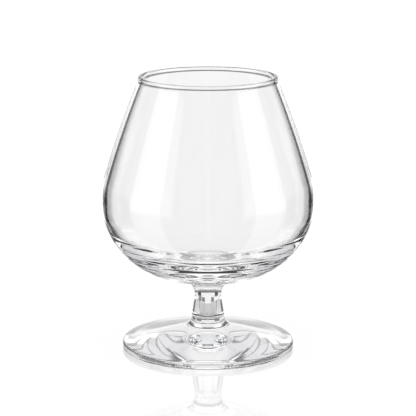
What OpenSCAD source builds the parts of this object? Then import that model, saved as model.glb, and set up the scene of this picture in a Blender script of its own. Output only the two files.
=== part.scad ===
// Brandy snifter of clear glass: a blown bowl, a pressed stem and a pressed foot, welded hot,
// end to end. Millimetres, +Z up, origin at the middle of the ring that the foot rests on.

/* [Bowl] */
// Widest diameter of the bowl, at its belt
bowl_d = 95; // [90:1:102]
// Height of the bowl from its weld to the top of the lip
bowl_h = 95.4; // [90:0.2:102]
// Diameter of the mouth inside the lip
mouth_d = 57; // [50:1:64]
// Radius of the heel, the round lower half of the bowl
heel_r = 36; // [33:0.5:38]
// Radius of the shoulder just above the belt
shoulder_r = 32; // [26:1:38]
// Radius of the long, slight bow of the wall between shoulder and lip
wall_bow_r = 420; // [300:20:600]

/* [Thickness of the bowl] */
// Wall at the belt
belt_wall = 2.5; // [1.8:0.1:3.2]
// Wall just under the lip
lip_wall = 1.85; // [1.5:0.05:2.1]
// Diameter of the fire-polished bead round the lip
lip_bead_d = 2.4; // [2.2:0.1:3]
// Radius of the hollow sweep under the lip bead
lip_sweep_r = 2; // [1:0.5:3]
// Solid glass between the bowl's floor and the lowest level of its heel
base_wall = 7; // [4:0.5:10]
// Fullness of the inner heel: 2 is an ellipse, more is squarer
heel_fullness = 2.5; // [2:0.1:2.8]

/* [Stem] */
// Length of the stem between its two welds
stem_h = 14; // [12:0.5:18]
// Diameter of the waist, the narrowest place of the stem
waist_d = 11.9; // [10:0.1:14]
// Depth of the waist below the stem's upper weld
waist_drop = 3.9; // [2:0.1:5]
// Radius of the hollow sweep from the waist up into the bowl
neck_r = 9; // [7.5:0.5:11]
// Widening of the stem below the waist, in degrees from upright
stem_taper = 9.4; // [6:0.2:12]

/* [Foot] */
// Diameter of the foot
foot_d = 77; // [70:1:86]
// Height of the foot, up to its weld with the stem
foot_h = 13; // [11.5:0.5:15]
// Thickness of the foot at its edge
edge_h = 3.0; // [1.9:0.1:3]
// Rounding of the foot's upper edge
edge_r = 1.2; // [0.8:0.1:1.3]
// Rounding of the foot's lower edge
lower_edge_r = 0.5; // [0.3:0.1:0.6]
// Radius of the hollow sweep from the foot up into the stem
root_r = 4; // [3:0.5:5]
// Width of the flat ring that the foot rests on
ring_w = 3.6; // [2:0.2:6]
// Height of the hollow under the foot, at its middle
hollow_h = 1.2; // [0.6:0.1:2]

/* [Hidden] */
$fn = 96;
glass = [0.88, 0.94, 0.94, 0.5];

// Fineness of the outlines: degrees between the points of an arc, and points on other curves
arc_step = 5;
fine_step = 15;
wall_steps = 8;
heel_steps = 20;
hollow_steps = 8;

// Levels of the two welds and of the lip
low_weld_z = foot_h;
high_weld_z = foot_h + stem_h;
lip_z = high_weld_z + bowl_h;

// Neck circle, and the heel circle that rests on it and sets the level of the belt
neck_c = [waist_d / 2 + neck_r, high_weld_z - waist_drop];
high_weld_a = 180 - asin(waist_drop / neck_r);
belt_r = bowl_d / 2;
heel_x = belt_r - heel_r;
belt_z = neck_c.y + sqrt(pow(heel_r + neck_r, 2) - pow(neck_c.x - heel_x, 2));
heel_c = [heel_x, belt_z];
touch_a = atan2(heel_c.y - neck_c.y, neck_c.x - heel_c.x);

// Taper of the stem down to the lower weld, and the root circle that carries it on
taper_top = neck_c - neck_r * dir(stem_taper);
low_weld_r = taper_top.x + (taper_top.y - low_weld_z) * tan(stem_taper);
root_c = [low_weld_r, low_weld_z] + root_r * dir(stem_taper);

// Top of the foot: a straight line that touches the edge rounding and the root circle
foot_r = foot_d / 2;
edge_c = [foot_r - edge_r, edge_h - edge_r];
root_way = edge_c - root_c;
foot_slope = atan2(-root_way.y, root_way.x) - asin((root_r + edge_r) / norm(root_way));
ring_in_r = foot_r - lower_edge_r - ring_w;

// Shoulder, whose inner and outer arcs share a centre, and the level of the bowl's floor
shoulder_c = [belt_r - shoulder_r, belt_z];
inner_shoulder_r = shoulder_r - belt_wall;
floor_z = belt_z - heel_r + base_wall;

// Lip bead, and the inner wall that runs into it without a corner
bead_r = lip_bead_d / 2;
bead_c = [mouth_d / 2 + bead_r, lip_z - bead_r];
inner_wall = bow(inner_shoulder_r + bead_r, bead_c);
lip_lean = lean_at(inner_wall, bead_c);

// Sweep under the lip bead, on the outside, and the outer wall that ends in it
sweep_off = lip_wall - bead_r + lip_sweep_r;
sweep_drop = sqrt(pow(bead_r + lip_sweep_r, 2) - pow(sweep_off, 2));
sweep_c = bead_c + sweep_off * dir(lip_lean) - sweep_drop * dir(lip_lean + 90);
sweep_a = atan2(bead_c.y - sweep_c.y, bead_c.x - sweep_c.x);
outer_wall_end = sweep_c - lip_sweep_r * dir(lip_lean);
outer_wall = bow(shoulder_r, outer_wall_end);

// Unit vector at an angle: 0 points outwards, 90 points up
function dir(a) = [cos(a), sin(a)];

// Points along a circle's arc, both ends included
function arc(c, r, from, to, step = arc_step) =
    let (n = max(2, round(abs(to - from) / step)))
    [for (i = [0:n]) c + r * dir(from + (to - from) * i / n)];

// Centre of the wall's bow that leaves a shoulder arc of radius r smoothly and passes through a point
function bow(r, through) =
    let (way = through - shoulder_c, d = norm(way), reach = wall_bow_r - r)
    let (turn = acos((d * d + reach * reach - wall_bow_r * wall_bow_r) / (2 * d * reach)))
    shoulder_c + reach * dir(atan2(way.y, way.x) + turn);

// Lean of a wall with that centre, in degrees from upright, at a point
function lean_at(centre, point) = atan2(point.y - centre.y, point.x - centre.x);

// Points along a wall, from the shoulder to a point at the lip, at a distance off its bow
function wall_points(centre, end, off = 0) =
    let (from = lean_at(centre, shoulder_c), to = lean_at(centre, end))
    [for (i = [0:wall_steps]) centre + (wall_bow_r + off) * dir(from + (to - from) * i / wall_steps)];

// Point of the inner heel, at an angle below the belt
function inner_heel(a) =
    [(belt_r - belt_wall) * pow(cos(a), 2 / heel_fullness),
     belt_z - (belt_z - floor_z) * pow(sin(a), 2 / heel_fullness)];

function backwards(points) = [for (i = [len(points) - 1:-1:0]) points[i]];

module bowl() {
    outside = concat(
        arc(neck_c, neck_r, high_weld_a, 180 - touch_a),
        arc(heel_c, heel_r, -touch_a, 0),
        arc(shoulder_c, shoulder_r, 0, lean_at(outer_wall, shoulder_c)),
        wall_points(outer_wall, outer_wall_end));
    lip = concat(
        arc(sweep_c, lip_sweep_r, 180 + lip_lean, sweep_a, fine_step),
        arc(bead_c, bead_r, sweep_a - 180, 180 + lip_lean, fine_step));
    inside = concat(
        backwards(wall_points(inner_wall, bead_c, -bead_r)),
        arc(shoulder_c, inner_shoulder_r, lean_at(inner_wall, shoulder_c), 0),
        [for (i = [1:heel_steps]) inner_heel(90 * i / heel_steps)]);
    color(glass)
        rotate_extrude()
            polygon(concat([[0, high_weld_z]], outside, lip, inside));
}

module stem() {
    side = arc(neck_c, neck_r, 180 + stem_taper, high_weld_a);
    color(glass)
        rotate_extrude()
            polygon(concat([[0, low_weld_z], [low_weld_r, low_weld_z]], side, [[0, high_weld_z]]));
}

module foot() {
    underside = [for (i = [0:hollow_steps]) let (s = i / hollow_steps) [ring_in_r * s, hollow_h * (1 - s * s)]];
    edge = concat(
        arc([foot_r - lower_edge_r, lower_edge_r], lower_edge_r, -90, 0, fine_step),
        arc(edge_c, edge_r, 0, 90 - foot_slope, fine_step));
    root = arc(root_c, root_r, 270 - foot_slope, 180 + stem_taper);
    color(glass)
        rotate_extrude()
            polygon(concat(underside, edge, root, [[0, low_weld_z]]));
}

bowl();
stem();
foot();
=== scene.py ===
from math import sin, cos, tan, asin, acos, atan2, sqrt, hypot, pi, radians, degrees

import bpy
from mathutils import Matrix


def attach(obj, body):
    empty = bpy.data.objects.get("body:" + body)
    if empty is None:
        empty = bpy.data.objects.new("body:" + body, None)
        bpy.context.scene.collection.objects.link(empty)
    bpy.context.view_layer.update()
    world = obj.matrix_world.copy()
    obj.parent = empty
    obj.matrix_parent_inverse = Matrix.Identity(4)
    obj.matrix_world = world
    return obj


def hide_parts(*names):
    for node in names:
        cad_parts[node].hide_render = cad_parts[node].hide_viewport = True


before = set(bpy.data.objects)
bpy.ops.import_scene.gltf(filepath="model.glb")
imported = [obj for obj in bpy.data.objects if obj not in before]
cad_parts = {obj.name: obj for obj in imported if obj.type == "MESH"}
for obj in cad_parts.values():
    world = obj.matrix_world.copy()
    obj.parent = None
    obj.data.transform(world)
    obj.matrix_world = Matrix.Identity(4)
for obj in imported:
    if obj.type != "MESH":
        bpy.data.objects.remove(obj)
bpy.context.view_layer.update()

# Brandy snifter of clear glass. Metres, +Z up, origin in the middle of the ring that the foot rests on.
mm = 0.001

turning = {
    "facets": 256,              # round each piece
    "arcStep": 2.5,             # degrees between the points of an arc
    "wallStep": 1.5,            # the same on the bowl's long curves,
    "edgeStep": 6,              # on the lip and the foot's upper edge,
    "smallStep": 10,            # and on the foot's lower edge
    "joinWithin": 0.004 * mm,   # points nearer than this become one
    "sharpFrom": 35,            # degrees between two faces whose edge stays sharp
}

print("frame loaded:", ", ".join(sorted(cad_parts)))


# Outlines: a point is (distance from the axis, height).

def polar(angle):
    return (cos(radians(angle)), sin(radians(angle)))


def arcPoints(centre, radius, start, end, step=turning["arcStep"]):
    count = max(2, round(abs(end - start) / step))
    angles = [start + (end - start) * i / count for i in range(count + 1)]
    ways = [polar(angle) for angle in angles]
    return [(centre[0] + radius * way[0], centre[1] + radius * way[1]) for way in ways]


def angleTo(centre, point):
    return degrees(atan2(point[1] - centre[1], point[0] - centre[0]))


def spinOutline(name, outline):
    # one vertex, extruded from point to point along the outline, then spun about the glass's axis
    bpy.ops.object.select_all(action="DESELECT")
    here = outline[0]
    bpy.ops.mesh.primitive_plane_add(size=mm, location=(here[0], 0, here[1]))
    piece = bpy.context.object
    piece.name = piece.data.name = name
    bpy.ops.object.mode_set(mode="EDIT")
    bpy.ops.mesh.merge(type="CENTER")
    for there in outline[1:]:
        move = (there[0] - here[0], 0, there[1] - here[1])
        bpy.ops.mesh.extrude_region_move(TRANSFORM_OT_translate={"value": move})
        here = there
    bpy.ops.mesh.select_all(action="SELECT")
    bpy.ops.mesh.spin(steps=turning["facets"], angle=2 * pi, center=(0, 0, 0), axis=(0, 0, 1))
    bpy.ops.mesh.select_all(action="SELECT")
    bpy.ops.mesh.remove_doubles(threshold=turning["joinWithin"])
    bpy.ops.mesh.normals_make_consistent(inside=False)
    bpy.ops.object.mode_set(mode="OBJECT")
    bpy.ops.object.transform_apply(location=True, rotation=True, scale=True)
    bpy.ops.object.shade_smooth_by_angle(angle=radians(turning["sharpFrom"]))
    print(name, "turned:", len(piece.data.polygons), "faces")
    return piece


# Stem: it sets the two welds and the neck circle that the bowl grows from.

stemSize = {
    "lowWeld": 13.0 * mm,
    "highWeld": 27.0 * mm,
    "waistRadius": 5.95 * mm,
    "waistDrop": 3.9 * mm,      # waist below the upper weld
    "neckRadius": 9.0 * mm,     # hollow sweep up into the bowl
    "taper": 9.4,               # degrees from upright, below the waist
}

neckCentre = (stemSize["waistRadius"] + stemSize["neckRadius"],
              stemSize["highWeld"] - stemSize["waistDrop"])
highWeldAngle = 180 - degrees(asin(stemSize["waistDrop"] / stemSize["neckRadius"]))
taperSide = polar(stemSize["taper"])
taperTop = (neckCentre[0] - stemSize["neckRadius"] * taperSide[0],
            neckCentre[1] - stemSize["neckRadius"] * taperSide[1])
lowWeldRadius = taperTop[0] + (taperTop[1] - stemSize["lowWeld"]) * tan(radians(stemSize["taper"]))


def stemOutline():
    side = arcPoints(neckCentre, stemSize["neckRadius"], 180 + stemSize["taper"], highWeldAngle)
    bottom = [(0, stemSize["lowWeld"]), (lowWeldRadius, stemSize["lowWeld"])]
    return bottom + side + [(0, stemSize["highWeld"])]


# Foot: a disc that rises to the lower weld.

footSize = {
    "radius": 38.5 * mm,
    "edge": 3.0 * mm,           # thickness at the edge
    "edgeRadius": 1.2 * mm,
    "lowerRadius": 0.5 * mm,
    "rootRadius": 4.0 * mm,     # hollow sweep up into the stem
    "ring": 3.6 * mm,           # width of the ring it rests on
    "hollow": 1.2 * mm,         # rise of the underside inside that ring
    "hollowSteps": 24,
}

rootCentre = (lowWeldRadius + footSize["rootRadius"] * taperSide[0],
              stemSize["lowWeld"] + footSize["rootRadius"] * taperSide[1])
edgeCentre = (footSize["radius"] - footSize["edgeRadius"],
              footSize["edge"] - footSize["edgeRadius"])
edgeWay = (edgeCentre[0] - rootCentre[0], edgeCentre[1] - rootCentre[1])
footSlope = (degrees(atan2(-edgeWay[1], edgeWay[0]))
             - degrees(asin((footSize["rootRadius"] + footSize["edgeRadius"]) / hypot(*edgeWay))))


def footOutline():
    inner = footSize["radius"] - footSize["lowerRadius"] - footSize["ring"]
    shares = [i / footSize["hollowSteps"] for i in range(footSize["hollowSteps"] + 1)]
    underside = [(inner * s, footSize["hollow"] * (1 - s * s)) for s in shares]
    lower = arcPoints((footSize["radius"] - footSize["lowerRadius"], footSize["lowerRadius"]),
                      footSize["lowerRadius"], -90, 0, turning["smallStep"])
    upper = arcPoints(edgeCentre, footSize["edgeRadius"], 0, 90 - footSlope, turning["edgeStep"])
    root = arcPoints(rootCentre, footSize["rootRadius"], 270 - footSlope, 180 + stemSize["taper"])
    return underside + lower + upper + root + [(0, stemSize["lowWeld"])]


# Bowl: the outline runs up the outside, over the lip and down the inside.

bowlSize = {
    "beltRadius": 47.5 * mm,
    "lip": 122.4 * mm,
    "mouthRadius": 28.5 * mm,
    "heelRadius": 36.0 * mm,
    "shoulderRadius": 32.0 * mm,
    "wallBow": 420.0 * mm,      # radius of the long bow from shoulder to lip
    "beltWall": 2.5 * mm,
    "lipWall": 1.85 * mm,
    "beadRadius": 1.2 * mm,
    "sweepRadius": 2.0 * mm,    # hollow sweep under the bead
    "baseWall": 7.0 * mm,
    "fullness": 2.5,            # of the inner heel: 2 is an ellipse
    "heelSteps": 96,
    "ripple": 0.12 * mm,        # settle rings inside the heel
    "rippleCount": 14,
    "wallSteps": 20,
}

heelAcross = bowlSize["beltRadius"] - bowlSize["heelRadius"]
beltLevel = neckCentre[1] + sqrt((bowlSize["heelRadius"] + stemSize["neckRadius"]) ** 2
                                 - (neckCentre[0] - heelAcross) ** 2)
heelCentre = (heelAcross, beltLevel)
shoulderCentre = (bowlSize["beltRadius"] - bowlSize["shoulderRadius"], beltLevel)
innerShoulder = bowlSize["shoulderRadius"] - bowlSize["beltWall"]
touchAngle = angleTo(neckCentre, heelCentre)
floorLevel = beltLevel - bowlSize["heelRadius"] + bowlSize["baseWall"]


def bowCentre(radius, through):
    # centre of the wall's bow, which leaves a shoulder arc of that radius smoothly and passes through a point
    away = hypot(through[0] - shoulderCentre[0], through[1] - shoulderCentre[1])
    reach = bowlSize["wallBow"] - radius
    turn = degrees(acos((away ** 2 + reach ** 2 - bowlSize["wallBow"] ** 2) / (2 * away * reach)))
    way = polar(angleTo(shoulderCentre, through) + turn)
    return (shoulderCentre[0] + reach * way[0], shoulderCentre[1] + reach * way[1])


def wallPoints(centre, end, off=0.0):
    start = angleTo(centre, shoulderCentre)
    step = abs(angleTo(centre, end) - start) / bowlSize["wallSteps"]
    return arcPoints(centre, bowlSize["wallBow"] + off, start, angleTo(centre, end), step)


def innerHeel(angle):
    power = 2 / bowlSize["fullness"]
    across = (bowlSize["beltRadius"] - bowlSize["beltWall"]) * cos(angle) ** power
    ripple = bowlSize["ripple"] * sin(2 * angle) * sin(2 * bowlSize["rippleCount"] * angle)
    return (across, beltLevel - (beltLevel - floorLevel) * sin(angle) ** power + ripple)


def bowlOutline():
    wallStep, edgeStep = turning["wallStep"], turning["edgeStep"]
    shoulderRadius = bowlSize["shoulderRadius"]
    beadRadius, sweepRadius = bowlSize["beadRadius"], bowlSize["sweepRadius"]
    bead = (bowlSize["mouthRadius"] + beadRadius, bowlSize["lip"] - beadRadius)
    innerCentre = bowCentre(innerShoulder + beadRadius, bead)
    lean = angleTo(innerCentre, bead)
    across, along = polar(lean), polar(lean + 90)
    off = bowlSize["lipWall"] - beadRadius + sweepRadius
    drop = sqrt((beadRadius + sweepRadius) ** 2 - off ** 2)
    sweep = (bead[0] + off * across[0] - drop * along[0], bead[1] + off * across[1] - drop * along[1])
    sweepAngle = angleTo(sweep, bead) % 360
    wallEnd = (sweep[0] - sweepRadius * across[0], sweep[1] - sweepRadius * across[1])
    outerCentre = bowCentre(shoulderRadius, wallEnd)
    outerEnd, innerEnd = angleTo(outerCentre, shoulderCentre), angleTo(innerCentre, shoulderCentre)
    outside = (arcPoints(neckCentre, stemSize["neckRadius"], highWeldAngle, touchAngle)
               + arcPoints(heelCentre, bowlSize["heelRadius"], touchAngle - 180, 0, wallStep)[1:]
               + arcPoints(shoulderCentre, shoulderRadius, 0, outerEnd, wallStep)[1:]
               + wallPoints(outerCentre, wallEnd)[1:])
    lip = (arcPoints(sweep, sweepRadius, 180 + lean, sweepAngle, edgeStep)[1:]
           + arcPoints(bead, beadRadius, sweepAngle - 180, 180 + lean, edgeStep)[1:])
    inside = (wallPoints(innerCentre, bead, -beadRadius)[::-1][1:]
              + arcPoints(shoulderCentre, innerShoulder, innerEnd, 0, wallStep)[1:])
    steps = bowlSize["heelSteps"]
    heel = [innerHeel(pi / 2 * i / steps) for i in range(1, steps)] + [(0, floorLevel)]
    return [(0, stemSize["highWeld"])] + outside + lip + inside + heel


stem = spinOutline("stemGlass", stemOutline())
foot = spinOutline("footGlass", footOutline())
bowl = spinOutline("bowlGlass", bowlOutline())


# Glass: one clear glass, and the same without a surface at the welds.

glassLook = {
    "ior": 1.52,
    "tint": (0.92, 0.935, 0.97, 1),
    "tintDensity": 1.2,         # per metre
    "waveScale": 42.0,          # long waves left by blowing
    "waveDetail": 1,
    "waveHeight": 0.006 * mm,
    "settleScale": 330.0,       # close, level rings left where the glass settled
    "settleHeight": 0.0022 * mm,
    "settleLength": (0.06, 0.06, 1),    # drawn out level by a small scale
    "smearScale": 160.0,
    "smearLevels": (0.5, 0.8),  # of the noise, where a smear starts and where it is strongest
    "polish": 0.006,            # least roughness
    "smear": 0.012,             # most roughness, in patches
    "weldWithin": 0.01 * mm,    # how near its level a face of a weld lies
    "weldLevel": 0.99,          # and how far its normal points straight up or down
}


def glassMaterial():
    material = bpy.data.materials.new("clearGlass")
    material.use_nodes = True
    tree = material.node_tree
    link = tree.links.new
    glass = tree.nodes["Principled BSDF"]
    glass.inputs["Base Color"].default_value = (1, 1, 1, 1)
    glass.inputs["Transmission Weight"].default_value = 1
    glass.inputs["IOR"].default_value = glassLook["ior"]
    where = tree.nodes.new("ShaderNodeTexCoord")

    smear = tree.nodes.new("ShaderNodeTexNoise")
    smear.inputs["Scale"].default_value = glassLook["smearScale"]
    smearRange = tree.nodes.new("ShaderNodeMapRange")
    smearRange.inputs["From Min"].default_value = glassLook["smearLevels"][0]
    smearRange.inputs["From Max"].default_value = glassLook["smearLevels"][1]
    smearRange.inputs["To Min"].default_value = glassLook["polish"]
    smearRange.inputs["To Max"].default_value = glassLook["smear"]
    link(where.outputs["Object"], smear.inputs["Vector"])
    link(smear.outputs["Fac"], smearRange.inputs["Value"])
    link(smearRange.outputs["Result"], glass.inputs["Roughness"])

    waves = tree.nodes.new("ShaderNodeTexNoise")
    waves.inputs["Scale"].default_value = glassLook["waveScale"]
    waves.inputs["Detail"].default_value = glassLook["waveDetail"]
    waveBump = tree.nodes.new("ShaderNodeBump")
    waveBump.inputs["Distance"].default_value = glassLook["waveHeight"]
    link(where.outputs["Object"], waves.inputs["Vector"])
    link(waves.outputs["Fac"], waveBump.inputs["Height"])

    squash = tree.nodes.new("ShaderNodeMapping")
    squash.inputs["Scale"].default_value = glassLook["settleLength"]
    settle = tree.nodes.new("ShaderNodeTexNoise")
    settle.inputs["Scale"].default_value = glassLook["settleScale"]
    settle.inputs["Detail"].default_value = glassLook["waveDetail"]
    settleBump = tree.nodes.new("ShaderNodeBump")
    settleBump.inputs["Distance"].default_value = glassLook["settleHeight"]
    link(where.outputs["Object"], squash.inputs["Vector"])
    link(squash.outputs["Vector"], settle.inputs["Vector"])
    link(settle.outputs["Fac"], settleBump.inputs["Height"])
    link(waveBump.outputs["Normal"], settleBump.inputs["Normal"])
    link(settleBump.outputs["Normal"], glass.inputs["Normal"])
    addTint(tree)
    return material


def addTint(tree):
    tint = tree.nodes.new("ShaderNodeVolumeAbsorption")
    tint.inputs["Color"].default_value = glassLook["tint"]
    tint.inputs["Density"].default_value = glassLook["tintDensity"]
    tree.links.new(tint.outputs["Volume"], tree.nodes["Material Output"].inputs["Volume"])


def weldMaterial():
    # inside a weld the glass runs on, so light passes straight through
    material = bpy.data.materials.new("weldedGlass")
    material.use_nodes = True
    seam = material.node_tree.nodes["Principled BSDF"]
    seam.inputs["Alpha"].default_value = 0
    seam.inputs["Transmission Weight"].default_value = 1
    addTint(material.node_tree)
    return material


clearGlass = glassMaterial()
weldedGlass = weldMaterial()


def dress(piece, node, weldLevels):
    piece.data.materials.append(clearGlass)
    piece.data.materials.append(weldedGlass)
    for face in piece.data.polygons:
        atWeld = any(abs(face.center.z - level) < glassLook["weldWithin"] for level in weldLevels)
        if atWeld and abs(face.normal.z) > glassLook["weldLevel"]:
            face.material_index = 1
    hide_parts(node)
    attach(piece, "root")


dress(bowl, "bowl", [stemSize["highWeld"]])
dress(stem, "stem", [stemSize["lowWeld"], stemSize["highWeld"]])
dress(foot, "foot", [stemSize["lowWeld"]])
print("glass dressed")


# Floor: white, with the glass's shadow and mirror image.

floorLook = {
    "size": 6.0,
    "drop": 0.05 * mm,          # below the ring, so that the two faces don't share a plane
    "shade": 0.12,              # share of the floor that takes shadow
    "paint": 0.9,
    "glow": 1.06,
    "sheenIor": 2.0,
    "sheenRoughness": 0.0,      # quite sharp, which tells it from the glass in the studio's nodes
    "sheenMost": 0.36,
    "sheenReach": (0.1, 0.15),  # from the glass's axis: where the mirror image starts to fade, and its end
}


def floorMaterial():
    # to the camera it is white, with a faint shadow and mirror image, and to light from the glass it is clear
    material = bpy.data.materials.new("paleFloor")
    material.use_nodes = True
    tree = material.node_tree
    tree.nodes.clear()
    link = tree.links.new
    paint = tree.nodes.new("ShaderNodeBsdfDiffuse")
    paint.inputs["Color"].default_value = (floorLook["paint"],) * 3 + (1,)
    glow = tree.nodes.new("ShaderNodeEmission")
    glow.inputs["Strength"].default_value = floorLook["glow"]
    white = tree.nodes.new("ShaderNodeMixShader")
    white.inputs["Fac"].default_value = 1 - floorLook["shade"]
    link(paint.outputs["BSDF"], white.inputs[1])
    link(glow.outputs["Emission"], white.inputs[2])
    clear = tree.nodes.new("ShaderNodeBsdfTransparent")
    path = tree.nodes.new("ShaderNodeLightPath")
    seen = tree.nodes.new("ShaderNodeMixShader")
    link(path.outputs["Is Camera Ray"], seen.inputs["Fac"])
    link(clear.outputs["BSDF"], seen.inputs[1])
    link(white.outputs["Shader"], seen.inputs[2])
    mirror = tree.nodes.new("ShaderNodeBsdfGlossy")
    mirror.inputs["Color"].default_value = (1, 1, 1, 1)
    mirror.inputs["Roughness"].default_value = floorLook["sheenRoughness"]
    fresnel = tree.nodes.new("ShaderNodeFresnel")
    fresnel.inputs["IOR"].default_value = floorLook["sheenIor"]
    where = tree.nodes.new("ShaderNodeTexCoord")
    away = tree.nodes.new("ShaderNodeVectorMath")
    away.operation = "LENGTH"
    link(where.outputs["Object"], away.inputs[0])
    fade = tree.nodes.new("ShaderNodeMapRange")
    fade.inputs["From Min"].default_value = floorLook["sheenReach"][1]
    fade.inputs["From Max"].default_value = floorLook["sheenReach"][0]
    link(away.outputs["Value"], fade.inputs["Value"])
    capped = tree.nodes.new("ShaderNodeMath")
    capped.operation = "MINIMUM"
    capped.inputs[1].default_value = floorLook["sheenMost"]
    link(fresnel.outputs["Fac"], capped.inputs[0])
    faded = tree.nodes.new("ShaderNodeMath")
    faded.operation = "MULTIPLY"
    link(capped.outputs["Value"], faded.inputs[0])
    link(fade.outputs["Result"], faded.inputs[1])
    sheen = tree.nodes.new("ShaderNodeMixShader")
    link(faded.outputs["Value"], sheen.inputs["Fac"])
    link(seen.outputs["Shader"], sheen.inputs[1])
    link(mirror.outputs["BSDF"], sheen.inputs[2])
    out = tree.nodes.new("ShaderNodeOutputMaterial")
    link(sheen.outputs["Shader"], out.inputs["Surface"])
    return material


bpy.ops.object.select_all(action="DESELECT")
bpy.ops.mesh.primitive_plane_add(size=floorLook["size"], location=(0, 0, -floorLook["drop"]))
floor = bpy.context.object
floor.name = "floor"
floor.data.materials.append(floorMaterial())


# Studio: what lies round the glass, by compass direction from +Y and by height, in degrees. There is a set of
# cards for each way that light goes: through the glass, off its outside, and mirrored inside it. A later card
# covers an earlier one. "throughOnce" lies over "through" and is for light that passed one wall only;
# "insideTwice" lies over "inside" and is for light that passed more than one.

def pair(name, start, end, *rest):
    return [("left" + name, -end, -start, *rest), ("right" + name, start, end, *rest)]


studio = {
    "shade": (0.95, 0.955, 1.02, 1),    # cast of what is dark round the glass; what is bright is white
    "plain": 1.0,               # white to the camera, to the floor and in the floor's mirror
    "onceDepth": 0.5,           # over this, light was mirrored or passed a surface at least once
    "againDepth": 2.5,          # over this, it went through more than one wall: each counts two surfaces
    "through": {
        "edge": 2,              # softness of the cards' edges
        "room": 0.97,
        "cards": [
            # name, from, to, low, high, brightness
            ("tableEdge", -34, 34, -53, -40, 0.05),
            *pair("LowSide", 31, 60, -60, -50, 0.05),
            ("table", -180, 180, -91, -60, 0.85),
            ("high", -180, 180, 8, 91, 0.3),
        ],
    },
    "throughOnce": {
        "edge": 2,
        "cards": [
            ("above", -180, 180, 2.5, 91, 0.25),
            ("leftFlag", -37, -22, -17, 6, 0.03),
            ("rightFlag", 22, 37, -30, 6, 0.03),
            *pair("LowFlag", 10, 20, -44, -18, 0.05),
            ("under", -42, 42, -62, -42, 0.03),
        ],
    },
    "offOutside": {
        "edge": 2,
        "room": 1.05,
        "cards": [
            *pair("Flag", 24, 90, -27, 28, 0.02),
            *pair("LowFlag", 6, 60, -60, -27, 0.1),
            *pair("High", 18, 62, 8, 60, 0.02),
            *pair("Softbox", 96, 129, -91, 40, 1.45),
            *pair("CameraSide", 129, 180, -60, 60, 0.3),
            *pair("EdgeLine", 10, 24, -27, -17, 0.35),
        ],
    },
    "inside": {
        "edge": 7,
        "room": 0.79,
        "cards": [
            ("lowFlag", -44, 44, -56, -30, 0.02),
            *pair("Flag", 9, 30, -40, 12, 0.02),
            ("top", -100, 100, 45, 91, 1.5),
            ("behind", -34, 34, -8, 8, 1.5),
            *pair("Gap", 31, 113, -18, 2, 0.02),
            *pair("CameraSide", 88, 180, -91, 45, 0.02),
            *pair("CameraBright", 86, 140, -10, 30, 1.5),
            *pair("WallFlag", 28, 39, -90, 8, 0.02),
            *pair("WallBehind", 8, 20, -37, -4, 1.33),
            ("middleHigh", -18, 18, 10, 32, 0.9),
        ],
    },
    "insideTwice": {
        "edge": 7,
        "cards": [
            ("room", -180, 180, -91, 91, 0.85),
            *pair("CameraSide", 130, 144, -83, 46, 0.65),
            *pair("Flag", 4, 27, -18, 4, 0.02),
            *pair("Side", 25, 54, -28, 8, 1.5),
        ],
    },
}


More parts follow.
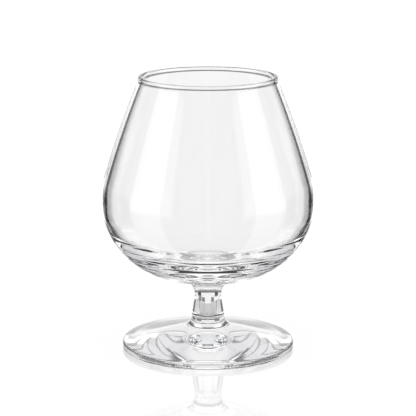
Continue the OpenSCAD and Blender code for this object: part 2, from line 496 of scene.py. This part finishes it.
def lightStudio():
    world = bpy.data.worlds.new("studio")
    bpy.context.scene.world = world
    world.use_nodes = True
    tree = world.node_tree
    link = tree.links.new

    def maths(operation, first, second):
        node = tree.nodes.new("ShaderNodeMath")
        node.operation = operation
        for socket, value in zip(node.inputs, (first, second)):
            if isinstance(value, (int, float)):
                socket.default_value = value
            else:
                link(value, socket)
        return node.outputs[0]

    def mixed(factor, first, second, label):
        node = tree.nodes.new("ShaderNodeMix")
        node.label = label
        for socket, value in zip((node.inputs[end] for end in ("Factor", "A", "B")), (factor, first, second)):
            if isinstance(value, (int, float)):
                socket.default_value = value
            else:
                link(value, socket)
        return node.outputs["Result"]

    def ramp(value, start, end):
        node = tree.nodes.new("ShaderNodeMapRange")
        node.interpolation_type = "SMOOTHSTEP"
        node.inputs["From Min"].default_value = start
        node.inputs["From Max"].default_value = end
        link(value, node.inputs["Value"])
        return node.outputs["Result"]

    def between(value, low, high, soft):
        return maths("MULTIPLY", ramp(value, low - soft, low + soft), ramp(value, high + soft, high - soft))

    def toDegrees(angle):
        return maths("MULTIPLY", angle, degrees(1))

    where = tree.nodes.new("ShaderNodeTexCoord")
    split = tree.nodes.new("ShaderNodeSeparateXYZ")
    link(where.outputs["Generated"], split.inputs["Vector"])
    compass = toDegrees(maths("ARCTAN2", split.outputs["X"], split.outputs["Y"]))
    height = toDegrees(maths("ARCSINE", split.outputs["Z"], 0))

    def cards(side, level):
        for name, start, end, low, high, brightness in side["cards"]:
            mask = between(height, low, high, side["edge"] / 2)
            if end - start < 360:   # a card all the way round has no side edges
                mask = maths("MULTIPLY", mask, between(compass, start, end, side["edge"] / 2))
            level = mixed(mask, level, brightness, name)
        return level

    path = tree.nodes.new("ShaderNodeLightPath")
    passes = path.outputs["Transmission Depth"]
    mirrored = maths("GREATER_THAN", path.outputs["Glossy Depth"], studio["onceDepth"])
    entered = maths("GREATER_THAN", passes, studio["onceDepth"])
    again = maths("GREATER_THAN", passes, studio["againDepth"])
    through = cards(studio["through"], studio["through"]["room"])
    through = mixed(again, cards(studio["throughOnce"], through), through, "passed through")
    inside = cards(studio["inside"], studio["inside"]["room"])
    inside = mixed(again, inside, cards(studio["insideTwice"], inside), "mirrored inside")
    outside = cards(studio["offOutside"], studio["offOutside"]["room"])
    outside = mixed(path.outputs["Is Singular Ray"], outside, studio["plain"], "plain to the floor's mirror")
    level = mixed(mirrored, through, mixed(entered, outside, inside, "mirrored"), "passed or mirrored")
    plain = maths("MAXIMUM", path.outputs["Is Camera Ray"], path.outputs["Is Diffuse Ray"])
    seen = mixed(plain, level, studio["plain"], "plain to the camera and the floor")
    cast = tree.nodes.new("ShaderNodeMix")
    cast.data_type = "RGBA"
    link(seen, cast.inputs["Factor"])
    colours = [socket for socket in cast.inputs if socket.type == "RGBA"]
    colours[0].default_value = studio["shade"]
    colours[1].default_value = (1, 1, 1, 1)
    shaded = [socket for socket in cast.outputs if socket.type == "RGBA"][0]
    link(shaded, tree.nodes["Background"].inputs["Color"])
    link(seen, tree.nodes["Background"].inputs["Strength"])


lightStudio()


# Camera: fitted to the photograph, whose frame is 416 pixels wide.

cameraFit = {
    "place": (0, -0.7812, 0.23747),
    "pitch": 12.578,            # degrees down
    "focalPixels": 1800,
    "frame": 416,               # pixels
    "sensor": 36,               # millimetres, as Blender has it
    "near": 0.01,
    "bounces": 24,              # of light, and the most of them through glass
    "glossyBounces": 12,
}

bpy.ops.object.camera_add(location=cameraFit["place"], rotation=(radians(90 - cameraFit["pitch"]), 0, 0))
camera = bpy.context.object
camera.name = "camera"
camera.data.sensor_width = cameraFit["sensor"]
camera.data.lens = cameraFit["focalPixels"] / cameraFit["frame"] * cameraFit["sensor"]
camera.data.clip_start = cameraFit["near"]
scene = bpy.context.scene
scene.camera = camera
scene.view_settings.view_transform = "Standard"
scene.cycles.max_bounces = cameraFit["bounces"]
scene.cycles.transmission_bounces = cameraFit["bounces"]
scene.cycles.glossy_bounces = cameraFit["glossyBounces"]
print("floor, studio and camera placed")
